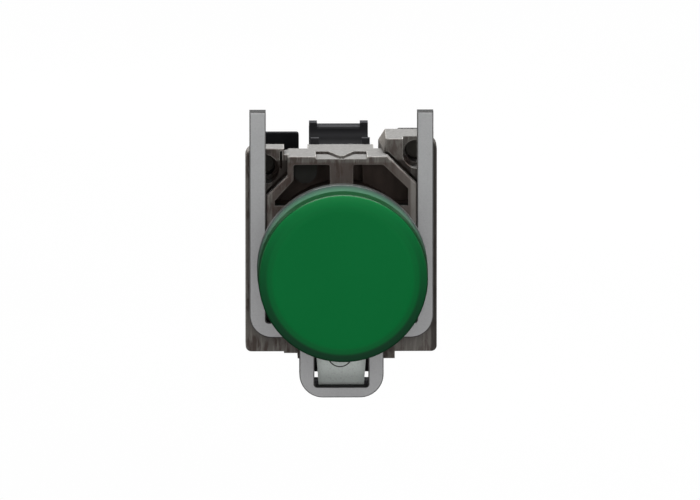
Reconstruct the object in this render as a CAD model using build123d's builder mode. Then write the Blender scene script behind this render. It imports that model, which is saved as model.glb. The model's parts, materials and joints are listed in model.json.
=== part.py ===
from build123d import *
import math
import os

# Panel pilot light for a 22.5 mm hole, seen from the front along +Y, in millimetres.
# The origin is on the lamp's axis, in the gasket's rear face, which is the panel's front.

# Head
barrel_radius = 11.0
barrel_wall = 1.7
barrel_length = 17.0
lens_overhang = 2.65
lens_side = 9.8
lens_shoulder = 2.1
lens_crown = 0.4
lens_wall = 1.7
bezel_depth = 3.0
bezel_edge = 0.35
spigot_length = 2.6
seal_section = 0.5
seal_grip = 0.2
gasket_thickness = 1.0
gasket_stand = 0.5
gasket_width = 1.9
diffuser_wall = 1.0
diffuser_skirt = 7.6
diffuser_gap = 0.2

# Release plate, the fork that locks the head
plate_thickness = 2.5
plate_front = 6.3
arm_width = 2.6
arm_gap = 0.08
plate_edge = 0.25
arm_rise = 7.2
bar_height = 2.45
fork_corner = 3.6
fork_inner_corner = 0.4
lock_bite = 0.95
lock_gap = 0.05
loop_half_width = 6.76
loop_leg = 2.42
loop_drop = 9.75
loop_bar = 1.75
loop_corner = 3.8
window_corner = 0.45
window_drop = 1.5
running_gap = 0.1

# Collar, the die-cast fixing block
bore_gap = 0.15
frame_side = 0.9
frame_rise = 5.93
frame_stand = 2.5
frame_depth = 8.4
frame_wall = 1.35
side_wall = 0.95
frame_chamfer = 3.4
left_shoulder_in = 3.39
left_shoulder_drop = 3.23
left_diagonal_drop = 3.3
right_shoulder_in = 4.71
right_diagonal_drop = 4.56
collar_margin = 0.61
collar_skirt = 2.66
collar_depth = 10.2
plate_depth = 4.4
corner_bottom = 0.9
corner_left = 1.5
corner_right = 1.8
casting_edge = 0.4
casting_round = 0.3
cavity_depth = 6.2
cavity_low = 2.1
cavity_step = 1.6
cavity_step_depth = 1.5
rib_half_width = 1.86
sleeve_wall = 1.05
post_radius = 1.9
post_drop = 1.35
post_setback = 1.4
pocket_width = 8.2
pocket_depth = 0.45
pocket_reach = 5.2
pointer_half_width = 2.0
pointer_tip = 0.33
pointer_setback = 0.5
bulge_half_width = 5.3
foot_half_width = 7.8
foot_offset = 0.8
foot_drop = 1.12
ledge_width = 2.2
ledge_drop = 0.24
left_block_rise = 0.94
left_block_width = 6.18
left_boss_drop = 0.03
left_boss_height = 6.0
right_block_rise = 2.51
right_block_width = 8.18
right_block_rake = 1.07
right_block_lean = 0.3
right_block_bevel = 1.74
right_block_height = 8.5
right_recess_width = 5.45
right_recess_depth = 2.2
recess_edge = 1.0
groove_width = 0.4
groove_depth = 2.4
groove_land = 0.3
slot_rise = 0.44
slot_height = 2.8

# Clamp screws and their guides
left_screw_in = 3.02
left_screw_drop = 3.42
right_screw_in = 3.27
right_screw_drop = 2.73
left_hole_radius = 2.37
right_hole_radius = 2.18
screw_radius = 1.75
screw_gap = 0.05
left_tip_depth = 6.6
right_tip_depth = 7.7
screw_head_radius = 1.75
screw_head_height = 2.2
screw_slot = 0.7
guide_inset = 0.35
guide_left_inset = 0.9
guide_left_width = 7.77
guide_left_rise = 0.93
guide_right_width = 5.9
guide_left_flange = 1.8
guide_left_length = 9.0
guide_right_flange = 1.2
guide_right_length = 2.4
guide_edge = 0.2
guide_wall = 0.4
guide_bore_gap = 0.2

# Return spring and reaction tab
spring_radius = 0.85
spring_wire = 0.3
spring_turns = 3
spring_room = 0.3
spring_floor = 0.7
tongue_thickness = 0.8
tongue_reach = 2.2
tongue_drop = 0.35
tab_recess = 1.2
tab_thickness = 1.0
tab_side_gap = 0.39
tab_taper = 0.3
tab_rise = 0.7
tab_short = 0.1
tab_gap = 0.3
rivet_radius = 1.85
rivet_head = 0.2
rivet_drop = 3.2
rivet_offset = 0.2

# Lamp block
block_half_width = 4.75
block_gap = 0.1
block_bottom = -21.1
block_depth = 22.8
block_wall = 1.0
valley_floor = 14.4
valley_curve = 2.0
hook_top = 17.9
hook_depth = 1.2
hook_width = 1.3
head_top = 16.87
head_depth = 4.0
head_edge = 0.3
ear_rise = 0.7
ear_width = 1.27
cover_thickness = 1.4
grip_gap = 0.8
grip_bar = 1.6
grip_depth = 3.5
grip_setback = 1.8
stem_half_width = 2.9
foot_height = 6.0
board_thickness = 1.0
board_gap = 0.2
board_height = 24.0
board_setback = 1.0
lamp_base_radius = 3.6
lamp_dome_radius = 2.5
lamp_reach = 9.0
lamp_base_reach = 1.5
resistor_radius = 1.1
resistor_length = 6.0
rectifier_size = 4.0
rectifier_height = 1.8
part_spacing = 8.0
terminal_depth = 7.0
terminal_inset = 4.2
terminal_metal = 0.8
terminal_travel = 1.8
terminal_screw_radius = 1.7
terminal_head_radius = 2.2
terminal_head_height = 1.6
clamp_side = 5.6
clamp_height = 1.2

# Places that follow from the sizes above
barrel_bore = barrel_radius - barrel_wall
bore_radius = barrel_radius + bore_gap
lens_radius = barrel_radius + lens_overhang
lens_front = -bezel_depth - lens_side
plate_back = plate_front + plate_thickness
collar_face = plate_back + running_gap
collar_rear = collar_face + collar_depth
plate_rear = collar_face + plate_depth
frame_front = collar_face - frame_stand
frame_rear = frame_front + frame_depth
frame_half_width = bore_radius + frame_side
frame_top = barrel_radius + frame_rise
frame_left_top = left_shoulder_in - frame_half_width
frame_right_top = frame_half_width - right_shoulder_in
left_shoulder = frame_top - left_shoulder_drop
left_diagonal = left_shoulder - left_diagonal_drop
right_diagonal = frame_top - right_diagonal_drop
cavity_top = frame_top - frame_wall
cavity_bottom = barrel_radius - cavity_low
arm_inner = frame_half_width + arm_gap
fork_half_width = arm_inner + arm_width
arm_top = frame_top + arm_rise
lock_z = lock_bite - barrel_radius
fork_bottom = lock_z - bar_height
loop_bottom = fork_bottom - loop_drop
loop_inner = loop_half_width - loop_leg
window_top = fork_bottom - window_drop
window_bottom = loop_bottom + loop_bar
collar_half_width = fork_half_width + collar_margin
collar_bottom = fork_bottom - collar_skirt
foot_bottom = collar_bottom - foot_drop
left_top = frame_top + left_block_rise
right_top = frame_top + right_block_rise
left_block_side = left_block_width - collar_half_width
right_block_side = collar_half_width - right_block_width
left_screw_x = left_screw_in - collar_half_width
left_screw_z = left_top - left_screw_drop
right_screw_x = collar_half_width - right_screw_in
right_screw_z = right_top - right_screw_drop
spring_x = (loop_half_width + loop_inner) / 2
spring_y = collar_face + tongue_reach / 2
spring_seat = foot_bottom + spring_floor
tongue_top = lock_z - tongue_drop
tab_half_width = loop_inner - tab_side_gap
tab_top = fork_bottom - tab_rise
tab_bottom = window_bottom - tab_short
rivet_z = fork_bottom - rivet_drop
block_front = collar_rear + block_gap
block_rear = block_front + block_depth
head_front = block_rear - head_depth


def facing(depth):
    """The plane at this depth whose sketches are drawn as the front view shows them."""
    return Plane.XZ.offset(-depth)


def finish(piece, label):
    """Name a finished piece and write its file."""
    piece.part.label = label
    export_step(piece.part, f"parts/{label}.step")


os.makedirs("parts", exist_ok=True)

# Lens: a domed cap with an even wall, open to the rear
lens_inner_radius = lens_radius - lens_wall
with BuildPart() as lens:
    for radius, front, corner, mode in (
        (lens_radius, lens_front, lens_shoulder, Mode.ADD),
        (lens_inner_radius, lens_front + lens_wall, lens_shoulder / 2, Mode.SUBTRACT),
    ):
        with BuildSketch(Plane.XY) as profile:
            with BuildLine():
                base = Line((0, -bezel_depth), (radius, -bezel_depth))
                side = Line(base @ 1, (radius, front))
                crown = math.atan2(2 * lens_crown * radius, radius**2 - lens_crown**2)
                dome_radius = radius / math.sin(crown)
                CenterArc(
                    (0, front - lens_crown + dome_radius),
                    dome_radius,
                    -90,
                    math.degrees(crown),
                )
                Line((0, front - lens_crown), (0, -bezel_depth))
            make_face()
            fillet(profile.vertices().group_by(Axis.Y)[1].sort_by(Axis.X)[-1], corner)
        revolve(axis=Axis.Y, mode=mode)
finish(lens, "lens")

# Bezel: chromed flange, spigot for the lens and the barrel through the panel, in one casting
flange_rear = -gasket_stand
seal_y = -bezel_depth - spigot_length / 2
with BuildPart() as bezel:
    with BuildSketch(Plane.XY) as flange:
        with Locations((0, -bezel_depth)):
            Rectangle(lens_radius, bezel_depth - gasket_stand, align=(Align.MIN, Align.MIN))
        fillet(flange.vertices().sort_by(Axis.X)[-2:], bezel_edge)
    revolve(axis=Axis.Y)
    with BuildSketch(facing(barrel_length)):
        Circle(barrel_radius)
    extrude(amount=barrel_length + bezel_depth + spigot_length)
    with BuildSketch(facing(barrel_length)):
        Circle(barrel_bore)
    extrude(amount=barrel_length + bezel_depth + spigot_length, mode=Mode.SUBTRACT)
    # seat of the gasket in the flange's rear face
    with BuildSketch(facing(flange_rear)):
        Circle(barrel_radius + gasket_width)
        Circle(barrel_radius, mode=Mode.SUBTRACT)
    extrude(amount=gasket_thickness - gasket_stand, mode=Mode.SUBTRACT)
    # groove of the lens seal
    with BuildSketch(facing(seal_y + seal_section)):
        Circle(barrel_radius)
        Circle(barrel_radius - seal_grip, mode=Mode.SUBTRACT)
    extrude(amount=2 * seal_section, mode=Mode.SUBTRACT)
    # locking groove in the barrel's underside, where the release plate bites
    with BuildSketch(facing(plate_back + running_gap)):
        with Locations((0, lock_z + lock_gap)):
            Rectangle(2 * barrel_radius, barrel_radius, align=(Align.CENTER, Align.MAX))
    extrude(amount=plate_thickness + 2 * running_gap, mode=Mode.SUBTRACT)
    chamfer(bezel.edges().filter_by(GeomType.CIRCLE).sort_by(Axis.Y)[-1], barrel_wall * 0.3)
finish(bezel, "bezel")

with BuildPart() as panel_gasket:
    with BuildSketch(facing(0)):
        Circle(barrel_radius + gasket_width)
        Circle(barrel_radius, mode=Mode.SUBTRACT)
    extrude(amount=gasket_thickness)
finish(panel_gasket, "panel_gasket")

with BuildPart() as lens_seal:
    with BuildSketch(facing(seal_y + seal_section)):
        Circle(lens_inner_radius - screw_gap)
        Circle(barrel_radius - seal_grip, mode=Mode.SUBTRACT)
    extrude(amount=2 * seal_section)
finish(lens_seal, "lens_seal")

# Diffuser: a pale cup whose flange lies on the spigot's front edge
spigot_front = -bezel_depth - spigot_length
with BuildPart() as diffuser:
    with BuildSketch(facing(spigot_front)):
        Circle(barrel_radius - diffuser_gap)
    extrude(amount=diffuser_wall)
    with BuildSketch(facing(spigot_front + diffuser_skirt)):
        Circle(barrel_bore - diffuser_gap)
        Circle(barrel_bore - diffuser_gap - diffuser_wall, mode=Mode.SUBTRACT)
    extrude(amount=diffuser_skirt)
finish(diffuser, "diffuser")

# Release plate: fork arms beside the frame, a bar that bites the barrel, and the pull loop
with BuildPart() as release_plate:
    with BuildSketch(facing(plate_back)) as fork:
        with BuildLine():
            Polyline(
                (-fork_half_width, arm_top),
                (-fork_half_width, fork_bottom),
                (fork_half_width, fork_bottom),
                (fork_half_width, arm_top),
                (arm_inner, arm_top),
                (arm_inner, lock_z),
                (-arm_inner, lock_z),
                (-arm_inner, arm_top),
                close=True,
            )
        make_face()
        fillet(fork.vertices().group_by(Axis.Y)[1], fork_inner_corner)
        fillet(fork.vertices().group_by(Axis.Y)[0], fork_corner)
    extrude(amount=plate_thickness)
    with BuildSketch(facing(plate_back)) as loop:
        with Locations((0, lock_z)):
            Rectangle(2 * loop_half_width, lock_z - loop_bottom, align=(Align.CENTER, Align.MAX))
        fillet(loop.vertices().group_by(Axis.Y)[0], loop_corner)
    extrude(amount=plate_thickness)
    with BuildSketch(facing(plate_back)) as window:
        with Locations((0, window_top)):
            Rectangle(2 * loop_inner, window_top - window_bottom, align=(Align.CENTER, Align.MAX))
        fillet(window.vertices(), window_corner)
    extrude(amount=plate_thickness, mode=Mode.SUBTRACT)
    fillet(release_plate.faces().sort_by(Axis.Y)[0].edges(), plate_edge)
    # tongue bent rearwards, which the return spring pushes up
    with BuildSketch(Plane.XY.offset(tongue_top)):
        with Locations((spring_x, plate_back - plate_thickness / 2)):
            Rectangle(
                2 * spring_radius,
                plate_thickness / 2 + tongue_reach,
                align=(Align.CENTER, Align.MIN),
            )
    extrude(amount=-tongue_thickness)
finish(release_plate, "release_plate")

# Collar: back plate with its two screw blocks, and the octagon frame that stands in front
with BuildPart() as collar:
    with BuildSketch(facing(plate_rear)) as outline:
        with BuildLine():
            Polyline(
                (-collar_half_width, collar_bottom),
                (collar_half_width, collar_bottom),
                (collar_half_width, right_top),
                (right_block_side, right_top),
                (right_block_side, frame_top),
                (left_block_side, frame_top),
                (left_block_side, left_top),
                (-collar_half_width, left_top),
                close=True,
            )
        make_face()
        fillet(outline.vertices().group_by(Axis.Y)[0], corner_bottom)
        fillet(outline.vertices().group_by(Axis.X)[0].sort_by(Axis.Y)[-1], corner_left)
        fillet(outline.vertices().group_by(Axis.X)[-1].sort_by(Axis.Y)[-1], corner_right)
    extrude(amount=plate_depth)
    fillet(collar.faces().sort_by(Axis.Y)[0].edges(), casting_round)
    # right screw block, whose upper inner edge is bevelled and which widens rearwards
    for depth, lean in (
        (collar_face + casting_round, right_block_lean),
        (collar_rear, right_block_rake),
    ):
        with BuildSketch(facing(depth)):
            with BuildLine():
                Polyline(
                    (right_block_side, right_top),
                    (right_block_side - lean, right_top - right_block_bevel),
                    (right_block_side - lean, right_top - right_block_height),
                    (collar_half_width - corner_right, right_top - right_block_height),
                    (collar_half_width - corner_right, right_top),
                    close=True,
                )
            make_face()
    loft(ruled=True)
    # left screw boss behind the plate
    with BuildSketch(facing(collar_rear)):
        with Locations((-collar_half_width + corner_bottom, frame_top - left_boss_drop)):
            Rectangle(
                collar_half_width - corner_bottom + left_block_side,
                left_boss_height,
                align=(Align.MIN, Align.MAX),
            )
    extrude(amount=collar_depth)
    # octagon frame
    with BuildSketch(facing(frame_rear)) as octagon:
        with BuildLine():
            Polyline(
                (frame_left_top, frame_top),
                (frame_right_top, frame_top),
                (frame_half_width, right_diagonal),
                (frame_half_width, lock_z + running_gap + frame_chamfer),
                (frame_half_width - frame_chamfer, lock_z + running_gap),
                (frame_chamfer - frame_half_width, lock_z + running_gap),
                (-frame_half_width, lock_z + running_gap + frame_chamfer),
                (-frame_half_width, left_diagonal),
                (frame_left_top, left_shoulder),
                close=True,
            )
        make_face()
        fillet(octagon.vertices(), casting_edge)
    extrude(amount=frame_depth)
    fillet(collar.faces().sort_by(Axis.Y)[0].edges(), casting_round)
    # bulge behind the frame's top, up to the lamp block
    with BuildSketch(facing(collar_rear)):
        with Locations((0, frame_top)):
            Rectangle(2 * bulge_half_width, frame_top, align=(Align.CENTER, Align.MAX))
        Circle(bore_radius + 2 * sleeve_wall)
    extrude(amount=collar_depth)
    # foot below the plate, which carries the reaction tab
    with BuildSketch(facing(plate_rear)):
        with Locations((foot_offset, foot_bottom)):
            Rectangle(
                2 * foot_half_width,
                foot_drop + collar_skirt,
                align=(Align.CENTER, Align.MIN),
            )
        with Locations((foot_offset - foot_half_width, collar_bottom - ledge_drop)):
            Rectangle(2 * ledge_width, collar_skirt, align=(Align.CENTER, Align.MIN))
    extrude(amount=plate_depth)
    # bore for the barrel
    with BuildSketch(facing(collar_rear)):
        Circle(bore_radius)
    extrude(amount=collar_depth + frame_stand, mode=Mode.SUBTRACT)
    # two cavities beside the central rib
    with BuildSketch(facing(frame_front + cavity_depth)) as cavities:
        with BuildLine():
            Polyline(
                (-rib_half_width, cavity_top),
                (-rib_half_width, cavity_bottom),
                (frame_wall - frame_half_width, cavity_bottom),
                (frame_wall - frame_half_width, left_diagonal - frame_wall / 2),
                (frame_left_top + side_wall, left_shoulder - frame_wall / 2),
                (frame_left_top + side_wall, cavity_top),
                close=True,
            )
        make_face()
        with BuildLine():
            Polyline(
                (rib_half_width, cavity_top),
                (rib_half_width, cavity_bottom),
                (frame_half_width - frame_wall, cavity_bottom),
                (frame_half_width - frame_wall, right_diagonal - frame_wall / 2),
                (frame_right_top - frame_wall / 2, cavity_top),
                close=True,
            )
        make_face()
        Circle(bore_radius + sleeve_wall, mode=Mode.SUBTRACT)
        fillet(cavities.vertices().group_by(Axis.Y)[-1], casting_edge)
    extrude(amount=cavity_depth, mode=Mode.SUBTRACT)
    # deeper step beside the rib in the right cavity
    with BuildSketch(facing(frame_front + cavity_depth + cavity_step_depth)) as step:
        with Locations((rib_half_width, cavity_top)):
            Rectangle(cavity_step, frame_rise, align=(Align.MIN, Align.MAX))
        Circle(bore_radius + sleeve_wall, mode=Mode.SUBTRACT)
    extrude(amount=cavity_step_depth, mode=Mode.SUBTRACT)
    # round-ended post that hangs from the left cavity's top wall
    post_x = frame_left_top + side_wall + post_radius
    post_z = cavity_top - post_drop
    with BuildSketch(facing(frame_front + cavity_depth)):
        with Locations((post_x, post_z)):
            Circle(post_radius)
            Rectangle(2 * post_radius, post_drop, align=(Align.CENTER, Align.MIN))
    extrude(amount=cavity_depth - post_setback)
    # shallow pocket in the top face, with the index pointer left standing
    with BuildSketch(Plane.XY.offset(frame_top - pocket_depth)):
        with Locations((0, frame_front)):
            Rectangle(pocket_width, pocket_reach, align=(Align.CENTER, Align.MIN))
        with BuildLine():
            Polyline(
                (-pointer_half_width, frame_front + pocket_reach),
                (-pointer_tip, frame_front + pointer_setback),
                (pointer_tip, frame_front + pointer_setback),
                (pointer_half_width, frame_front + pocket_reach),
                close=True,
            )
        make_face(mode=Mode.SUBTRACT)
    extrude(amount=pocket_depth, mode=Mode.SUBTRACT)
    # clamp screw holes: wide at the front, then the thread's bore
    with BuildSketch(facing(collar_face + right_recess_depth)):
        with Locations((collar_half_width - right_recess_width, right_screw_z)):
            Rectangle(
                right_recess_width - recess_edge,
                right_block_height,
                align=(Align.MIN, Align.MIN),
            )
    extrude(amount=right_recess_depth, mode=Mode.SUBTRACT)
    for x, z, hole_radius in (
        (left_screw_x, left_screw_z, left_hole_radius),
        (right_screw_x, right_screw_z, right_hole_radius),
    ):
        with BuildSketch(facing(plate_rear)):
            with Locations((x, z)):
                Circle(hole_radius)
        extrude(amount=plate_depth, mode=Mode.SUBTRACT)
        with BuildSketch(facing(collar_rear)):
            with Locations((x, z)):
                Circle(screw_radius + screw_gap)
        extrude(amount=collar_depth, mode=Mode.SUBTRACT)
    # recess for the reaction tab, and the pocket of the return spring
    with BuildSketch(facing(collar_face + tab_recess)):
        with Locations((0, foot_bottom)):
            Rectangle(
                2 * (tab_half_width + tab_gap),
                tab_top + tab_gap - foot_bottom,
                align=(Align.CENTER, Align.MIN),
            )
    extrude(amount=tab_recess, mode=Mode.SUBTRACT)
    with BuildSketch(facing(collar_face + tongue_reach + spring_room)):
        with Locations((spring_x, spring_seat)):
            Rectangle(
                2 * (spring_radius + spring_room),
                tongue_top + spring_room - spring_seat,
                align=(Align.CENTER, Align.MIN),
            )
    extrude(amount=tongue_reach + spring_room, mode=Mode.SUBTRACT)
    # narrow grooves between the frame and the two screw blocks
    with BuildSketch(facing(collar_face + groove_depth)):
        with Locations((left_block_side - groove_land, frame_top + slot_rise)):
            Rectangle(groove_width, slot_height, align=(Align.MAX, Align.MAX))
        for start, finish_point in (
            ((frame_left_top, left_shoulder), (-frame_half_width, left_diagonal)),
            ((frame_right_top, frame_top), (frame_half_width, right_diagonal)),
        ):
            with BuildLine():
                Line(start, finish_point)
                offset(amount=groove_width, side=Side.BOTH)
            make_face()
    extrude(amount=groove_depth, mode=Mode.SUBTRACT)
finish(collar, "collar")

# Clamp screws: the tip waits behind the fork's arm, the head is turned from the rear
clamp_screws = {
    "clamp_screw_left": (left_screw_x, left_screw_z, left_tip_depth),
    "clamp_screw_right": (right_screw_x, right_screw_z, right_tip_depth),
}
for label, (x, z, tip_depth) in clamp_screws.items():
    with BuildPart() as clamp_screw:
        with BuildSketch(facing(collar_rear + screw_gap)):
            with Locations((x, z)):
                Circle(screw_radius)
        extrude(amount=collar_depth + screw_gap - tip_depth)
        chamfer(clamp_screw.edges().group_by(Axis.Y)[0], screw_radius * 0.15)
        with BuildSketch(facing(collar_rear + screw_gap + screw_head_height)):
            with Locations((x, z)):
                Circle(screw_head_radius)
        extrude(amount=screw_head_height)
        with BuildSketch(facing(collar_rear + screw_gap + screw_head_height)):
            with Locations((x, z)):
                Rectangle(1.5 * screw_head_radius, screw_slot)
                Rectangle(screw_slot, 1.5 * screw_head_radius)
        extrude(amount=screw_head_height / 2, mode=Mode.SUBTRACT)
    finish(clamp_screw, label)

# Screw guides: black funnels on the collar's rear that lead the screwdriver to each head
guide_bore = screw_head_radius + guide_bore_gap
guides = {
    "screw_guide_left": (
        left_screw_x,
        left_screw_z,
        guide_left_inset - collar_half_width,
        guide_left_inset - collar_half_width + guide_left_width,
        left_top + guide_left_rise,
        guide_left_flange,
        guide_left_length,
    ),
    "screw_guide_right": (
        right_screw_x,
        right_screw_z,
        collar_half_width - guide_inset - guide_right_width,
        collar_half_width - guide_inset,
        right_top,
        guide_right_flange,
        guide_right_length,
    ),
}
for label, (x, z, left, right, top, flange_depth, length) in guides.items():
    with BuildPart() as screw_guide:
        with BuildSketch(facing(collar_rear + flange_depth)) as flange:
            with Locations((left, top)):
                Rectangle(right - left, top - z + guide_bore + guide_wall, align=(Align.MIN, Align.MAX))
            fillet(flange.vertices(), casting_edge)
        extrude(amount=flange_depth)
        fillet(screw_guide.faces().sort_by(Axis.Y)[-1].edges(), guide_edge)
        with BuildSketch(facing(collar_rear + length)):
            with Locations((x, z)):
                Circle(guide_bore + guide_wall)
        extrude(amount=length)
        with BuildSketch(facing(collar_rear + length)):
            with Locations((x, z)):
                Circle(guide_bore)
        extrude(amount=length, mode=Mode.SUBTRACT)
    finish(screw_guide, label)

# Return spring below the plate's tongue
spring_top = tongue_top - tongue_thickness
with BuildPart() as latch_spring:
    spring_height = spring_top - spring_seat - spring_wire
    with BuildLine() as coil:
        Helix(
            pitch=spring_height / spring_turns,
            height=spring_height,
            radius=spring_radius - spring_wire / 2,
            center=(spring_x, spring_y, spring_seat + spring_wire / 2),
        )
    with BuildSketch(Plane(coil.line @ 0, z_dir=coil.line % 0)):
        Circle(spring_wire / 2)
    sweep()
finish(latch_spring, "latch_spring")

# Reaction tab behind the loop's window, riveted to the foot
tab_front = collar_face + tab_recess - tab_thickness
with BuildPart() as pry_tab:
    with BuildSketch(facing(collar_face + tab_recess)):
        with BuildLine():
            Polyline(
                (-tab_half_width, tab_top),
                (tab_half_width, tab_top),
                (tab_half_width, foot_bottom),
                (tab_half_width - tab_taper, tab_bottom),
                (tab_taper - tab_half_width, tab_bottom),
                (-tab_half_width, foot_bottom),
                close=True,
            )
        make_face()
    extrude(amount=tab_thickness)
    with Locations(facing(tab_front)):
        with Locations((-rivet_offset, rivet_z)):
            Hole(rivet_radius / 2 + screw_gap)
finish(pry_tab, "pry_tab")

with BuildPart() as tab_rivet:
    with BuildSketch(facing(tab_front)):
        with Locations((-rivet_offset, rivet_z)):
            Circle(rivet_radius)
    extrude(amount=rivet_head)
    with BuildSketch(facing(collar_face + tab_recess)):
        with Locations((-rivet_offset, rivet_z)):
            Circle(rivet_radius / 2)
    extrude(amount=tab_thickness)
finish(tab_rivet, "tab_rivet")

# Lamp block housing: a thin-walled box behind the collar, stepped in side view
block_width = 2 * block_half_width
cavity_rear = block_rear - cover_thickness
with BuildPart() as module_housing:
    with BuildSketch(Plane.YZ.offset(-block_half_width)) as side_view:
        with BuildLine():
            Polyline(
                (block_front, foot_height + block_bottom),
                (block_front, valley_floor),
                (head_front, valley_floor),
                (head_front, head_top),
                (cavity_rear, head_top),
                (cavity_rear, block_bottom),
                (block_front + foot_height, block_bottom),
                close=True,
            )
        make_face()
        fillet(side_view.vertices().group_by(Axis.Y)[-2].sort_by(Axis.X)[-1], valley_curve)
        fillet(side_view.vertices().group_by(Axis.Y)[-1], head_edge)
    extrude(amount=block_width)
    # two ears beside the top terminal
    for x in (-block_half_width, block_half_width - ear_width):
        with BuildSketch(Plane.YZ.offset(x)):
            with Locations((head_front, head_top + ear_rise)):
                Rectangle(cavity_rear - head_front, 2 * ear_rise, align=(Align.MIN, Align.MAX))
        extrude(amount=ear_width)
    # two hooks that hold the block behind the collar
    for x in (-block_half_width, block_half_width - hook_width):
        with BuildSketch(Plane.YZ.offset(x)):
            with Locations((block_front, hook_top)):
                Rectangle(hook_depth, 2 * (hook_top - valley_floor), align=(Align.MIN, Align.MAX))
        extrude(amount=hook_width)
    # grip below the block's front: a stem with a wide bar
    with BuildSketch(facing(block_front + grip_setback + grip_depth)) as grip:
        with Locations((0, block_bottom - grip_gap)):
            Rectangle(block_width, grip_bar, align=(Align.CENTER, Align.MAX))
            Rectangle(2 * stem_half_width, foot_height, align=(Align.CENTER, Align.MIN))
        fillet(grip.vertices().group_by(Axis.Y)[0], grip_bar * 0.4)
    extrude(amount=grip_depth)
    # inner room for the board, closed by the rear cover
    with BuildSketch(facing(cavity_rear)):
        with Locations((0, block_bottom + block_wall)):
            Rectangle(
                block_width - 2 * block_wall,
                valley_floor - block_bottom - 2 * block_wall,
                align=(Align.CENTER, Align.MIN),
            )
    extrude(amount=cavity_rear - block_front - foot_height - block_wall, mode=Mode.SUBTRACT)
    # window for the lamp in the front wall
    with BuildSketch(facing(block_front + foot_height + block_wall)):
        Circle(lamp_base_radius + board_gap)
    extrude(amount=foot_height + block_wall, mode=Mode.SUBTRACT)
finish(module_housing, "module_housing")

# Rear cover, with one round hole over each terminal screw
terminal_places = {
    "top": valley_floor - block_wall - terminal_inset,
    "bottom": block_bottom + block_wall + terminal_inset,
}
with BuildPart() as module_cover:
    with BuildSketch(facing(block_rear)) as lid:
        with Locations((0, block_bottom)):
            Rectangle(
                block_width,
                head_top - block_bottom,
                align=(Align.CENTER, Align.MIN),
            )
        fillet(lid.vertices(), casting_edge)
    extrude(amount=cover_thickness)
    with BuildSketch(facing(block_rear)):
        for z in terminal_places.values():
            with Locations((0, z)):
                Circle(terminal_head_radius + guide_bore_gap)
    extrude(amount=cover_thickness, mode=Mode.SUBTRACT)
finish(module_cover, "module_cover")

# Circuit board across the block, with the lamp on its front and small parts on its rear
board_front = block_front + foot_height + block_wall + board_setback
board_rear = board_front + board_thickness
with BuildPart() as circuit_board:
    with BuildSketch(facing(board_rear)):
        Rectangle(block_width - 2 * block_wall - 2 * board_gap, board_height)
    extrude(amount=board_thickness)
finish(circuit_board, "circuit_board")

with BuildPart() as led_lamp:
    with BuildSketch(facing(board_front)):
        Circle(lamp_base_radius)
    extrude(amount=board_front - block_front + lamp_base_reach)
    with BuildSketch(facing(block_front)):
        Circle(lamp_dome_radius)
    extrude(amount=lamp_reach)
    fillet(led_lamp.faces().sort_by(Axis.Y)[0].edges(), lamp_dome_radius * 0.9)
finish(led_lamp, "led_lamp")

with BuildPart() as resistor:
    with BuildSketch(Plane.XY.offset(part_spacing - resistor_length / 2)):
        with Locations((0, board_rear + resistor_radius)):
            Circle(resistor_radius)
    extrude(amount=resistor_length)
    chamfer(resistor.edges().filter_by(GeomType.CIRCLE), resistor_radius * 0.3)
finish(resistor, "resistor")

with BuildPart() as rectifier:
    with BuildSketch(facing(board_rear + rectifier_height)):
        with Locations((0, -part_spacing)):
            Rectangle(rectifier_size, rectifier_size)
    extrude(amount=rectifier_height)
    chamfer(rectifier.faces().sort_by(Axis.Y)[-1].edges(), rectifier_height * 0.15)
finish(rectifier, "rectifier")

# Terminals: a fixed plate, a sliding wire clamp and its screw at each end of the block
plate_y = cavity_rear - terminal_depth
inner_width = block_width - 2 * block_wall
for place, z in terminal_places.items():
    with BuildPart() as terminal_plate:
        with BuildSketch(facing(plate_y + terminal_metal)):
            with Locations((0, z)):
                Rectangle(inner_width - 2 * board_gap, 2 * terminal_inset - 2 * board_gap)
                Circle(terminal_screw_radius + screw_gap, mode=Mode.SUBTRACT)
        extrude(amount=terminal_metal)
    finish(terminal_plate, f"terminal_plate_{place}")

    clamp_front = plate_y + terminal_metal + terminal_travel + running_gap
    with BuildPart() as wire_clamp:
        with BuildSketch(facing(clamp_front + clamp_height)):
            with Locations((0, z)):
                Rectangle(clamp_side, clamp_side)
                Circle(terminal_screw_radius + screw_gap, mode=Mode.SUBTRACT)
        extrude(amount=clamp_height)
    finish(wire_clamp, f"wire_clamp_{place}")

    head_base = clamp_front + clamp_height + screw_gap
    with BuildPart() as terminal_screw:
        with BuildSketch(facing(head_base)):
            with Locations((0, z)):
                Circle(terminal_screw_radius)
        extrude(amount=head_base - plate_y + terminal_metal)
        with BuildSketch(facing(head_base + terminal_head_height)):
            with Locations((0, z)):
                Circle(terminal_head_radius)
        extrude(amount=terminal_head_height)
        with BuildSketch(facing(head_base + terminal_head_height)):
            with Locations((0, z)):
                Rectangle(1.5 * terminal_head_radius, screw_slot)
                Rectangle(screw_slot, 1.5 * terminal_head_radius)
        extrude(amount=terminal_head_height / 2, mode=Mode.SUBTRACT)
    finish(terminal_screw, f"terminal_screw_{place}")
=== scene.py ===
import json
import math

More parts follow.
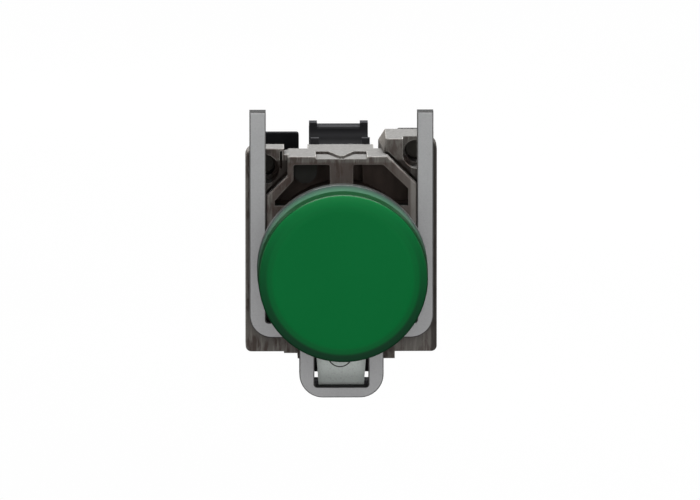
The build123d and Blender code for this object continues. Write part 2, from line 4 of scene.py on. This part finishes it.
import bpy
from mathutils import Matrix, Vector


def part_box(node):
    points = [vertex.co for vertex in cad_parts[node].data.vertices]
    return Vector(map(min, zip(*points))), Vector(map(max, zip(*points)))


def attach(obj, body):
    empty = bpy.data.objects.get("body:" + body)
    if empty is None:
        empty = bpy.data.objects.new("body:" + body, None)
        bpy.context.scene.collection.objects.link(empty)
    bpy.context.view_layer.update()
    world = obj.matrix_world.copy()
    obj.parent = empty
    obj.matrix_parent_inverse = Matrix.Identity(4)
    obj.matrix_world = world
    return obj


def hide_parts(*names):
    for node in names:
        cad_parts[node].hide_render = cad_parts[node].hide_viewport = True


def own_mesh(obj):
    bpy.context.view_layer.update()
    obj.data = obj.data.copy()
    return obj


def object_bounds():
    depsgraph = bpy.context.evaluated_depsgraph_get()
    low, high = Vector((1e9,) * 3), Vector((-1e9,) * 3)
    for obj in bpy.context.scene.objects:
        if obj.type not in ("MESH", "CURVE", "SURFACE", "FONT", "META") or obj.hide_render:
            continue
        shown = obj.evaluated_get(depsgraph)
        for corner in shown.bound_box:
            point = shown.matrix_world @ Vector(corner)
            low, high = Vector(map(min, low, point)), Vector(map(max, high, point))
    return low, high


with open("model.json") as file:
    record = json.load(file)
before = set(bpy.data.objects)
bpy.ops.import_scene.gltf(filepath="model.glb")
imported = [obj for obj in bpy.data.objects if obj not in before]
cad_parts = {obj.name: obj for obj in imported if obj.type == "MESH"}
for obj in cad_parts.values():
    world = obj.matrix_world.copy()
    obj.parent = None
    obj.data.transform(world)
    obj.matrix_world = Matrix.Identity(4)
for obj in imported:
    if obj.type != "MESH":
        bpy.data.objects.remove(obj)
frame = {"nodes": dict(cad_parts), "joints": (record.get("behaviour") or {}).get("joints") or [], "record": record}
cad_low, cad_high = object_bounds()

MM = 0.001
FIXED = "fixed_body"
FACING_FRONT = (math.pi / 2, 0, 0)

# Profile of the lens. +Y points into the panel, so the front has the lowest depth.
LENS_RADIUS = 13.65 * MM
LENS_REAR = -3.0 * MM
LENS_FRONT = -13.0 * MM
LENS_DRAFT = 0.12 * MM
LENS_CROWN = 0.15 * MM
LENS_RIM = 2.0 * MM
LENS_RIM_RISE = 0.6 * MM
LENS_CORNER = 0.6 * MM
LENS_WALL = 1.7 * MM
LENS_SIDES = 160
LENS_SMOOTH_DEGREES = 35

# Wire of the dark ring of painted shade round the rivet; how far the spring stays clear of the plate when it is
# pulled down
SHADOW_RING_RADIUS = 0.2 * MM
SPRING_SLACK = 0.02 * MM
SPRING_WELD = 0.001 * MM
SPRING_SMOOTH_DEGREES = 40

# Inner outline of the collar's raised frame, and depths inside it
FRAME_FRONT = 6.4 * MM
POST_FRONT = 7.75 * MM
CAVITY_HALF_WIDTH = 10.9 * MM
CAVITY_TOP = 15.7 * MM
CAVITY_BOTTOM = -9.0 * MM
CAVITY_EDGE = 0.4 * MM

# Where the collar's colour (its finish, and its painted shade inside the frame and on the right flank) begins to
# change, and where the change is complete
LIGHTER_SIDE = (7.0 * MM, 9.5 * MM)
SHADED_FLANK = (14.2 * MM, 14.6 * MM)
RAISED_FRAME = (FRAME_FRONT + 0.3 * MM, FRAME_FRONT + 0.8 * MM)
STAINED_FRONT = (FRAME_FRONT, FRAME_FRONT + 0.5 * MM)
SHALLOW_ROOM = (FRAME_FRONT + 0.4 * MM, FRAME_FRONT + 1.2 * MM)
DEEP_ROOM = (POST_FRONT + 0.6 * MM, POST_FRONT + 2.0 * MM)

# The same for the lens, for its finish, its painted shade and its painted reflection: along its depth, up its face
# and outwards from its axis
SPIGOT_FRONT = -8.5 * MM
PALE_SKIRT = (SPIGOT_FRONT, SPIGOT_FRONT + 0.25 * MM)
SKIRT_FADE = (SPIGOT_FRONT, SPIGOT_FRONT + 7 * MM)
FACE_HEIGHT = (-12.0 * MM, 13.0 * MM)
INNER_RIM = (11.0 * MM, 11.7 * MM)
OUTER_RIM = (11.9 * MM, 12.5 * MM)
CREASE_START = (11.2 * MM, 11.6 * MM)
CREASE_END = (11.7 * MM, 12.1 * MM)

# For every finish: fineness of its noise, open sky over a recess, turn of the normal on an edge
NOISE_ROUGHNESS = 0.55
SKY_SPAN = (0.3, 0.92)
EDGE_SPAN = (0.03, 0.2)

# Floor, light and camera: the camera's lens and sensor in millimetres, its angles in degrees
FLOOR_SIZE = 4.0
FLOOR_DROP = 40 * MM
FLOOR_GLOW = 1.02
AMBIENT = 0.14
AMBIENT_MIRRORED = 0.03
TOP_BOX = (1.0, 0.5)
WIDE_BOX = (1.6, 0.7)
SIDE_BOX = (0.7, 0.7)
CAMERA_AZIMUTH = -0.9
CAMERA_ELEVATION = 9.0
LENS_LENGTH = 1000.0
SENSOR_WIDTH = 36.0
FIELD_WIDTH = 112 * MM
VIEW_CENTRE = (1.27 * MM, 0.42 * MM, 2.67 * MM)
VIEW_LIMIT = 10


# Shader arithmetic


class Flow:
    """A shader socket that takes Python arithmetic: each operation adds its Math node."""

    def __init__(self, bench, socket):
        self.bench = bench
        self.socket = socket

    def __add__(self, other):
        return self.bench.math("ADD", self, other)

    __radd__ = __add__

    def __sub__(self, other):
        return self.bench.math("SUBTRACT", self, other)

    def __rsub__(self, other):
        return self.bench.math("SUBTRACT", other, self)

    def __mul__(self, other):
        return self.bench.math("MULTIPLY", self, other)

    __rmul__ = __mul__

    def __pow__(self, other):
        return self.bench.math("POWER", self, other)

    def __abs__(self):
        return self.bench.math("ABSOLUTE", self, 0.0)


class Bench:
    """The nodes of one material, or of the world, under construction."""

    def __init__(self, owner):
        self.owner = owner
        owner.use_nodes = True
        self.tree = owner.node_tree
        self.tree.nodes.clear()

    def add(self, kind, settings, inputs, output=0):
        """Add a node: its settings first, then the value or link of each socket."""
        node = self.tree.nodes.new(kind)
        for name, value in settings.items():
            setattr(node, name, value)
        for name, value in inputs.items():
            if isinstance(value, Flow):
                self.tree.links.new(value.socket, node.inputs[name])
            else:
                node.inputs[name].default_value = value
        return Flow(self, node.outputs[output]) if node.outputs else None

    def math(self, operation, first, second):
        """Work out one number from two."""
        return self.add("ShaderNodeMath", {"operation": operation}, {0: first, 1: second})

    def place(self):
        """The piece's own coordinates, in metres."""
        return self.add("ShaderNodeTexCoord", {}, {}, "Object")

    def axis(self, index):
        """One of these coordinates."""
        return self.add("ShaderNodeSeparateXYZ", {}, {0: self.place()}, index)

    def radius(self):
        """Distance from the lamp's axis."""
        return (self.axis(0) ** 2.0 + self.axis(2) ** 2.0) ** 0.5

    def outside_frame(self):
        """How far a point lies outside the raised frame's inner width and height."""
        beside = abs(self.axis(0)) - CAVITY_HALF_WIDTH
        height = self.axis(2)
        past = self.math("MAXIMUM", height - CAVITY_TOP, CAVITY_BOTTOM - height)
        return self.math("MAXIMUM", beside, past)

    def facing(self, index):
        """How far the surface faces along one axis of the piece, from 0 to 1."""
        normal = self.add("ShaderNodeTexCoord", {}, {}, "Normal")
        return abs(self.add("ShaderNodeSeparateXYZ", {}, {0: normal}, index))

    def noise(self, scale, detail=4.0, stretch=(1, 1, 1)):
        """Cloudy variation; scale counts waves in a metre."""
        moved = self.add("ShaderNodeMapping", {}, {"Vector": self.place(), "Scale": stretch})
        inputs = {"Vector": moved, "Scale": scale, "Detail": detail, "Roughness": NOISE_ROUGHNESS}
        return self.add("ShaderNodeTexNoise", {}, inputs)

    def step(self, value, low, high):
        """Smooth change from 0 at low to 1 at high."""
        settings = {"interpolation_type": "SMOOTHSTEP"}
        return self.add("ShaderNodeMapRange", settings, {0: value, 1: low, 2: high})

    def mix(self, factor, first, second):
        """Blend two colours."""
        inputs = {0: factor, 6: first, 7: second}
        return self.add("ShaderNodeMix", {"data_type": "RGBA"}, inputs, 2)

    def painted_recess_shade(self, reach):
        """Mask for painted shade in recesses, from ambient occlusion: 1 deep in recesses, 0 on open faces."""
        inputs = {"Distance": reach}
        open_sky = self.add("ShaderNodeAmbientOcclusion", {"samples": 8}, inputs, "AO")
        return 1.0 - self.step(open_sky, *SKY_SPAN)

    def edges(self, width):
        """1 on raised edges: where the rounded normal leaves the true one, in the open."""
        true = self.add("ShaderNodeNewGeometry", {}, {}, "Normal")
        soft = self.add("ShaderNodeBevel", {"samples": 6}, {"Radius": width})
        inputs = {0: true, 1: soft}
        dot = self.add("ShaderNodeVectorMath", {"operation": "DOT_PRODUCT"}, inputs, 1)
        return self.step(1.0 - dot, *EDGE_SPAN) * (1.0 - self.painted_recess_shade(width * 2))

    def bump(self, height, distance, strength):
        """Fine relief, as a normal."""
        inputs = {"Height": height, "Distance": distance, "Strength": strength}
        return self.add("ShaderNodeBump", {}, inputs)

    def finish(self, color, roughness, normal, **constants):
        """Close a material with a Principled shader; the constants name its other sockets."""
        inputs = {"Base Color": color, "Roughness": roughness, "Normal": normal}
        for name, value in constants.items():
            inputs[name.replace("_", " ").title().replace("Ior", "IOR")] = value
        shader = self.add("ShaderNodeBsdfPrincipled", {}, inputs)
        self.add("ShaderNodeOutputMaterial", {}, {"Surface": shader})
        return self.owner


def new_material(name):
    return Bench(bpy.data.materials.new(name))


def tone(red, green, blue):
    """A colour given as on a screen, from 0 to 255, in linear light."""
    linear = [((c / 255 + 0.055) / 1.055) ** 2.4 if c > 10 else c / 255 / 12.92
              for c in (red, green, blue)]
    return (*linear, 1.0)


# Finishes


def zinc_casting():
    """Die-cast zinc: grey on faces turned up, brown and streaked elsewhere; painted shade darkens it inside the
    frame, in recesses and on the right flank.
    """
    bench = new_material("zinc_casting")
    cloud = bench.noise(330.0, detail=6.0)
    patch = bench.noise(900.0, detail=5.0, stretch=(1.0, 1.0, 0.35))
    streak = bench.noise(2200.0, stretch=(1.0, 1.0, 0.1))
    grain = bench.noise(5200.0, detail=3.0)
    across, depth = bench.axis(0), bench.axis(1)
    up = bench.step(bench.facing(2), 0.5, 0.9)

    # bare metal with brown patches, pale streaks and bright edges
    color = bench.mix(cloud, tone(97, 92, 87), tone(124, 120, 115))
    ahead = 0.35 + 0.65 * bench.facing(1)
    color = bench.mix(bench.step(patch, 0.45, 0.6) * 0.8 * ahead, color, tone(70, 57, 52))
    color = bench.mix(bench.step(streak, 0.5, 0.7) * 0.65, color, tone(142, 138, 132))
    # faces turned up take an even grey in place of the brown patches
    upward_grey = bench.mix(bench.step(streak, 0.35, 0.65), tone(95, 94, 92), tone(110, 109, 107))
    color = bench.mix(up, color, upward_grey)
    color = bench.mix(bench.edges(0.35 * MM) * 0.75, color, tone(176, 173, 168))

    # the right-hand side is lighter, most of all on the raised frame; painted shade darkens the flank
    right_side_lift = bench.step(across, *LIGHTER_SIDE) * (1.0 - up)
    raised = 1.0 - bench.step(depth, *RAISED_FRAME)
    color = bench.mix(right_side_lift * (0.15 + raised * 0.5), color, tone(152, 148, 143))
    # painted shade on the flank
    color = bench.mix(bench.step(across, *SHADED_FLANK) * 0.75, color, tone(52, 48, 44))

    # inside the frame: a stained front, painted shade on the set-back faces and posts, a darker brown floor that
    # is partly painted shade, and painted shade in the recesses
    within = 1.0 - bench.step(bench.outside_frame(), 0.0, CAVITY_EDGE)
    stained = within * (1.0 - up) * (1.0 - bench.step(depth, *STAINED_FRONT))
    color = bench.mix(stained * 0.6, color, tone(74, 58, 53))
    # painted shade: faces set back inside the frame turn dark
    color = bench.mix(within * bench.step(depth, *SHALLOW_ROOM), color, tone(35, 34, 31))
    deep = within * bench.step(depth, *DEEP_ROOM)
    # partly painted shade: the deep floor takes a darker brown than the open metal
    floor = bench.mix(patch, tone(60, 50, 45), tone(96, 83, 76))
    color = bench.mix(deep, color, floor)
    # painted shade in the recesses, from ambient occlusion
    recess_shade = bench.painted_recess_shade(3.0 * MM) * 0.55 * (1.0 - deep)
    color = bench.mix(recess_shade, color, tone(34, 29, 26))

    roughness = 0.5 + cloud * 0.14 + grain * 0.08
    normal = bench.bump(grain * 0.6 + streak * 0.6, 0.04 * MM, 0.5)
    return bench.finish(color, roughness, normal, metallic=0.15)


def plate_steel(name, dark, light):
    """Pale zinc-plated sheet steel with a fine blasted grain, darker sheared edges that turn near black as painted
    shade where they face up and down, and painted shade in recesses.
    """
    bench = new_material(name)
    cloud = bench.noise(180.0, detail=5.0)
    grain = bench.noise(6000.0, detail=3.0)
    speck = bench.noise(3000.0)
    sheared_edge_and_shade = 1.0 - bench.step(bench.facing(1), 0.85, 0.99)
    color = bench.mix(cloud, dark, light)
    color = bench.mix(bench.step(grain, 0.35, 0.75) * 0.3, color, tone(216, 216, 217))
    color = bench.mix(bench.step(speck, 0.5, 0.75) * 0.25, color, tone(150, 150, 151))
    # sheared edges: dark grey on the sides, and painted shade makes those facing up and down near black
    cut_edge_shade = bench.mix(bench.facing(2), tone(92, 91, 90), tone(12, 12, 11))
    color = bench.mix(sheared_edge_and_shade * 0.95, color, cut_edge_shade)
    # painted shade in the recesses, from ambient occlusion
    color = bench.mix(bench.painted_recess_shade(0.8 * MM) * 0.6, color, tone(46, 44, 42))
    roughness = 0.5 + cloud * 0.1 + grain * 0.06 + sheared_edge_and_shade * 0.25
    normal = bench.bump(grain + speck, 0.02 * MM, 0.5)
    return bench.finish(color, roughness, normal, metallic=0.1, specular_ior_level=0.3)


def green_lens():
    """Glossy green plastic: even on the face, with painted shade on the wall and rim and a painted pale reflection
    over the bezel's spigot.
    """
    bench = new_material("green_lens")
    cloud = bench.noise(60.0, detail=3.0)
    grain = bench.noise(2600.0, detail=2.0)
    depth, radius = bench.axis(1), bench.radius()

    # painted shade: the rim round the face darkens, more towards the bottom
    color = bench.mix(cloud, tone(4, 112, 53), tone(7, 118, 58))
    low = 1.0 - bench.step(bench.axis(2), *FACE_HEIGHT)
    inner_rim_shade = bench.step(radius, *INNER_RIM) * (0.12 + low * 0.13)
    outer_rim_shade = bench.step(radius, *OUTER_RIM) * (0.05 + low * 0.55)
    color = bench.mix(inner_rim_shade + outer_rim_shade, color, tone(30, 51, 41))

    # painted shade on the wall; on its rear part a painted pale reflection, standing for the chromed spigot seen
    # through it and grazing light
    wall_shade = 1.0 - bench.step(bench.facing(1), 0.35, 0.96)
    color = bench.mix(wall_shade, color, tone(10, 53, 26))
    # painted reflection: the pale skirt over the spigot
    pale = bench.mix(bench.step(depth, *SKIRT_FADE), tone(55, 91, 71), tone(45, 51, 53))
    color = bench.mix(bench.step(depth, *PALE_SKIRT), color, pale)

    crease = bench.step(radius, *CREASE_START) * (1.0 - bench.step(radius, *CREASE_END))
    roughness = 0.3 + crease * 0.15 + cloud * 0.05 + grain * 0.03
    normal = bench.bump(grain, 0.01 * MM, 0.1)
    return bench.finish(color, roughness, normal, specular_ior_level=0.1)


def chrome_ring():
    """Polished chrome with the faintest cloud."""
    bench = new_material("chrome_ring")
    cloud = bench.noise(150.0)
    turned_marks = bench.noise(3000.0, detail=2.0, stretch=(0.05, 1.0, 0.05))
    color = bench.mix(cloud, tone(146, 151, 149), tone(158, 163, 161))
    roughness = 0.24 + cloud * 0.06 + turned_marks * 0.04
    normal = bench.bump(turned_marks, 0.01 * MM, 0.15)
    return bench.finish(color, roughness, normal, metallic=1.0)


def moulded_plastic(name, dark, light, roughness_base, slope_shade_tone=None, shine=0.5):
    """Fine-grained moulded plastic; the optional shade tone is painted as shade on its slopes and fillets that
    tilt up and down.
    """
    bench = new_material(name)
    cloud = bench.noise(220.0)
    grain = bench.noise(4200.0, detail=3.0)
    color = bench.mix(cloud, dark, light)
    color = bench.mix(bench.edges(0.2 * MM) * 0.4, color, light)
    if slope_shade_tone:
        # painted shade: slopes and fillets turned partly up and down darken to the shade tone and grow rougher
        front_tilt = bench.step(bench.facing(1), 0.01, 0.06)
        slope_shade = front_tilt * bench.step(bench.facing(2), 0.3, 0.7)
        color = bench.mix(slope_shade * 0.95, color, slope_shade_tone)
        roughness_base = roughness_base + slope_shade * 0.3
    roughness = roughness_base + cloud * 0.1 + grain * 0.08
    normal = bench.bump(grain, 0.03 * MM, 0.5)
    return bench.finish(color, roughness, normal, specular_ior_level=shine)


def plain_metal(name, dark, light, roughness_base, metallic=0.9):
    """Metal of one tone with fine marks and paler edges."""
    bench = new_material(name)
    cloud = bench.noise(400.0)
    marks = bench.noise(3800.0, detail=3.0)
    color = bench.mix(cloud, dark, light)
    color = bench.mix(bench.edges(0.2 * MM) * 0.4, color, light)
    roughness = roughness_base + cloud * 0.1 + marks * 0.1
    normal = bench.bump(marks, 0.02 * MM, 0.4)
    return bench.finish(color, roughness, normal, metallic=metallic)


SHEET_STEELS = {
    "plate_steel": (tone(184, 184, 185), tone(195, 195, 196)),
    # painted light: the tab and its rivet are lighter and tinted green, standing for the green light the lens
    # throws on them and lifting the shade under the lens
    "tab_steel": (tone(219, 227, 222), tone(228, 235, 230)),
    "rivet_steel": (tone(206, 214, 209), tone(222, 229, 224)),
}
# dark tone, light tone, roughness
PLASTICS = {
    "seal_rubber": (tone(22, 22, 22), tone(34, 34, 34), 0.6),
    "pale_diffuser": (tone(206, 208, 202), tone(224, 226, 220), 0.45),
    "board": (tone(14, 62, 34), tone(24, 84, 46), 0.35),
    "lamp_plastic": (tone(206, 222, 208), tone(226, 236, 226), 0.15),
    "resistor_body": (tone(160, 138, 98), tone(184, 160, 118), 0.4),
}
# dark tone, light tone, roughness, metallic
METALS = {
    "spring_steel": (tone(120, 121, 124), tone(176, 177, 180), 0.28, 0.9),
    "terminal_brass": (tone(158, 124, 62), tone(204, 168, 96), 0.32, 0.9),
    "terminal_steel": (tone(132, 133, 136), tone(188, 189, 192), 0.3, 0.9),
    "dark_screw": (tone(80, 77, 72), tone(112, 108, 101), 0.45, 0.3),
    # painted shade: the tone of the dark ring round the rivet
    "rivet_crevice": (tone(36, 34, 31), tone(48, 46, 42), 0.6, 0.1),
}
FINISHES = {
    "zinc_casting": zinc_casting(),
    "green_lens": green_lens(),
    "chrome_ring": chrome_ring(),
    "black_plastic": moulded_plastic(
        "black_plastic", tone(42, 42, 44), tone(51, 51, 53), 0.6,
        slope_shade_tone=tone(24, 24, 25), shine=0.06,
    ),
    "guide_plastic": moulded_plastic(
        "guide_plastic", tone(11, 12, 15), tone(19, 20, 23), 0.6, shine=0.15
    ),
    **{name: plate_steel(name, *look) for name, look in SHEET_STEELS.items()},
    **{name: moulded_plastic(name, *look) for name, look in PLASTICS.items()},
    **{name: plain_metal(name, *look) for name, look in METALS.items()},
}


def paint(piece, finish_name):
    """Give a piece one finish."""
    piece.data.materials.clear()
    piece.data.materials.append(FINISHES[finish_name])


# The CAD nodes that keep their own mesh

OWN_FINISH = {
    "screw_guide_left": "guide_plastic",
    "screw_guide_right": "guide_plastic",
    "pry_tab": "tab_steel",
    "tab_rivet": "rivet_steel",
}

for entry in frame["record"]["subparts"]:
    finish_name = OWN_FINISH.get(entry["node"], entry["material_slot"])
    for slot in frame["nodes"][entry["node"]].material_slots:
        slot.material = FINISHES[finish_name]


# Lens


def start_clean():
    """Leave nothing selected."""
    if bpy.context.object and bpy.context.object.mode != "OBJECT":
        bpy.ops.object.mode_set(mode="OBJECT")
    bpy.ops.object.select_all(action="DESELECT")


def turned(name, rings, finish_name):
    """Turn a profile round the lamp's axis: a ring for each radius and depth, poles closed."""
    start_clean()
    radius, depth = rings[0]
    bpy.ops.mesh.primitive_circle_add(
        vertices=LENS_SIDES, radius=radius, fill_type="TRIFAN",
        location=(0, depth, 0), rotation=FACING_FRONT,
    )
    piece = bpy.context.object
    piece.name = name
    bpy.ops.object.transform_apply(location=True, rotation=True, scale=True)
    bpy.ops.object.mode_set(mode="EDIT")
    bpy.ops.mesh.select_mode(type="VERT")
    bpy.ops.mesh.select_all(action="DESELECT")
    bpy.ops.object.mode_set(mode="OBJECT")
    for vertex in piece.data.vertices:
        vertex.select = math.hypot(vertex.co.x, vertex.co.z) > radius / 2
    bpy.ops.object.mode_set(mode="EDIT")
    for next_radius, next_depth in rings[1:]:
        bpy.ops.mesh.extrude_edges_move(
            TRANSFORM_OT_translate={"value": (0, next_depth - depth, 0)}
        )
        share = next_radius / radius
        bpy.ops.transform.resize(value=(share, 1, share), center_override=(0, next_depth, 0))
        radius, depth = next_radius, next_depth
    bpy.ops.mesh.merge(type="CENTER")
    bpy.ops.mesh.select_all(action="SELECT")
    bpy.ops.mesh.normals_make_consistent(inside=False)
    bpy.ops.object.mode_set(mode="OBJECT")
    bpy.ops.object.shade_smooth_by_angle(angle=math.radians(LENS_SMOOTH_DEGREES))
    paint(piece, finish_name)
    return piece


def arc(centre, radius, start, end, steps):
    """Points of an arc in the profile: angles in degrees, 0 outwards and 90 to the front."""
    angles = [math.radians(start + (end - start) * i / steps) for i in range(steps + 1)]
    return [(centre[0] + radius * math.cos(a), centre[1] - radius * math.sin(a)) for a in angles]


def crown(edge_radius, edge_depth, steps):
    """Points of the low dome from its edge to just beside the axis."""
    radii = [edge_radius * (1 - i / steps) for i in range(1, steps)]
    return [(r, edge_depth - LENS_CROWN * (1 - (r / edge_radius) ** 2)) for r in radii]


def lens():
    """Cap with a tight corner, a softly raked rim and a nearly flat face."""
    face_radius = LENS_RADIUS - LENS_RIM
    face_depth = LENS_FRONT + LENS_CROWN
    corner_radius = LENS_RADIUS - LENS_DRAFT - LENS_CORNER
    corner_depth = LENS_FRONT + LENS_CROWN + LENS_RIM_RISE + LENS_CORNER
    rake = math.degrees(math.atan2(LENS_RIM_RISE, LENS_RIM - LENS_CORNER))
    outside = arc((corner_radius, corner_depth), LENS_CORNER, 0, 90 - rake, steps=8)

    inner_radius = LENS_RADIUS - LENS_WALL
    inner_edge = inner_radius - LENS_CORNER
    inner_face = face_depth + LENS_WALL
    inside = arc((inner_edge, inner_face + LENS_CORNER), LENS_CORNER, 90, 0, steps=6)

    rings = [*reversed(crown(inner_edge, inner_face, steps=5)), *inside]
    rings += [(inner_radius, LENS_REAR), (LENS_RADIUS, LENS_REAR), *outside]
    rings += [(face_radius, face_depth), *crown(face_radius, face_depth, steps=12)]
    piece = turned("lens_cap", rings, "green_lens")
    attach(piece, FIXED)
    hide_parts("lens")


lens()


# Small details


def rivet_seam():
    """A dark ring of painted shade round the head of the tab's rivet, standing for the shadow in its groove."""
    start_clean()
    low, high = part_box("tab_rivet")
    centre_x, centre_z = (low[0] + high[0]) / 2, (low[2] + high[2]) / 2
    tab_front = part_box("pry_tab")[0][1]
    bpy.ops.mesh.primitive_torus_add(
        major_radius=(high[0] - low[0]) / 2, minor_radius=SHADOW_RING_RADIUS, major_segments=64,
        minor_segments=10, location=(centre_x, tab_front, centre_z), rotation=FACING_FRONT,
    )
    shadow_ring = bpy.context.object
    shadow_ring.name = "rivet_seam"
    bpy.ops.object.transform_apply(location=True, rotation=True, scale=True)
    bpy.ops.object.shade_smooth()
    paint(shadow_ring, "rivet_crevice")
    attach(shadow_ring, FIXED)


def return_spring():
    """The coil below the plate's tongue, as a welded and smoothed copy of the CAD spring on the fixed body."""
    start_clean()
    source = frame["nodes"]["latch_spring"]
    spring = bpy.data.objects.new("return_spring", source.data.copy())
    bpy.context.scene.collection.objects.link(spring)
    spring.select_set(True)
    bpy.context.view_layer.objects.active = spring
    bpy.ops.object.mode_set(mode="EDIT")
    bpy.ops.mesh.select_all(action="SELECT")
    bpy.ops.mesh.remove_doubles(threshold=SPRING_WELD)
    bpy.ops.object.mode_set(mode="OBJECT")
    bpy.ops.object.shade_smooth_by_angle(angle=math.radians(SPRING_SMOOTH_DEGREES))
    paint(spring, "spring_steel")
    low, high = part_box("latch_spring")
    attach(spring, FIXED)
    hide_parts("latch_spring")
    travel = next(j for j in frame["joints"] if j["name"] == "release_slide")["range_m"][1]
    1 - (travel + SPRING_SLACK) / (high[2] - low[2])
    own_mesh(spring)


rivet_seam()
return_spring()


# Floor, light and camera


def studio():
    """A flat pale floor, clear when it is seen from below."""
    start_clean()
    floor_height = cad_low[2] - FLOOR_DROP
    bpy.ops.mesh.primitive_plane_add(size=FLOOR_SIZE, location=(0, 0, floor_height))
    floor = bpy.context.object
    floor.name = "studio_floor"
    bench = new_material("studio_white")
    color = bench.mix(bench.noise(3.0, detail=2.0), tone(250, 250, 250), tone(255, 255, 255))
    white = bench.add("ShaderNodeEmission", {}, {"Color": color, "Strength": FLOOR_GLOW})
    clear = bench.add("ShaderNodeBsdfTransparent", {}, {})
    below = bench.add("ShaderNodeNewGeometry", {}, {}, "Backfacing")
    shader = bench.add("ShaderNodeMixShader", {}, {0: below, 1: white, 2: clear})
    bench.add("ShaderNodeOutputMaterial", {}, {"Surface": shader})
    floor.data.materials.append(bench.owner)
    floor.visible_diffuse = False
    floor.visible_glossy = False
    floor.visible_shadow = False


def softbox(name, location, size, power, aim=(0, 0, 0), mirrored=True):
    """One large rectangular light; glossy surfaces mirror it unless told otherwise."""
    data = bpy.data.lights.new(name, "AREA")
    data.shape = "RECTANGLE"
    data.size, data.size_y = size
    data.energy = power
    lamp = bpy.data.objects.new(name, data)
    bpy.context.scene.collection.objects.link(lamp)
    lamp.location = location
    lamp.rotation_euler = (Vector(aim) - Vector(location)).to_track_quat("-Z", "Y").to_euler()
    lamp.visible_camera = False
    lamp.visible_glossy = mirrored


def surroundings():
    """A white backdrop that throws only a faint even light, and is hardly mirrored."""
    bench = Bench(bpy.data.worlds.new("studio_world"))
    seen = bench.add("ShaderNodeLightPath", {}, {}, "Is Camera Ray")
    mirrored = bench.add("ShaderNodeLightPath", {}, {}, "Is Glossy Ray")
    faint = AMBIENT - mirrored * (AMBIENT - AMBIENT_MIRRORED)
    strength = bench.math("MAXIMUM", faint, seen)
    inputs = {"Color": (1.0, 1.0, 1.0, 1.0), "Strength": strength}
    background = bench.add("ShaderNodeBackground", {}, inputs)
    bench.add("ShaderNodeOutputWorld", {}, {"Surface": background})
    bpy.context.scene.world = bench.owner


def camera():
    """A long lens at the photograph's slight downward angle."""
    azimuth = math.radians(CAMERA_AZIMUTH)
    elevation = math.radians(CAMERA_ELEVATION)
    back = Vector((
        math.sin(azimuth) * math.cos(elevation),
        -math.cos(azimuth) * math.cos(elevation),
        math.sin(elevation),
    ))
    data = bpy.data.cameras.new("photo_camera")
    data.lens = LENS_LENGTH
    data.sensor_width = SENSOR_WIDTH
    data.clip_end = VIEW_LIMIT
    eye = bpy.data.objects.new("photo_camera", data)
    bpy.context.scene.collection.objects.link(eye)
    distance = FIELD_WIDTH * LENS_LENGTH / SENSOR_WIDTH
    eye.location = Vector(VIEW_CENTRE) + back * distance
    eye.rotation_euler = (-back).to_track_quat("-Z", "Y").to_euler()
    bpy.context.scene.camera = eye


studio()
softbox("top_light", (0.0, 0.16, 0.8), TOP_BOX, 22.0, aim=(0, 0.01, 0))
softbox("upper_front_light", (0.0, -1.1, 1.1), WIDE_BOX, 5.0)
softbox("front_light", (0.0, -1.4, 0.1), WIDE_BOX, 6.0, mirrored=False)
softbox("lower_front_light", (0.0, -1.2, -0.9), WIDE_BOX, 5.8, mirrored=False)
softbox("rear_light", (0.0, 1.4, 0.3), WIDE_BOX, 6.0, mirrored=False)
softbox("left_light", (-1.3, 0.2, 0.2), SIDE_BOX, 2.5)
softbox("right_light", (1.3, 0.2, 0.2), SIDE_BOX, 2.5)
camera()
surroundings()
bpy.context.scene.view_settings.view_transform = "Standard"
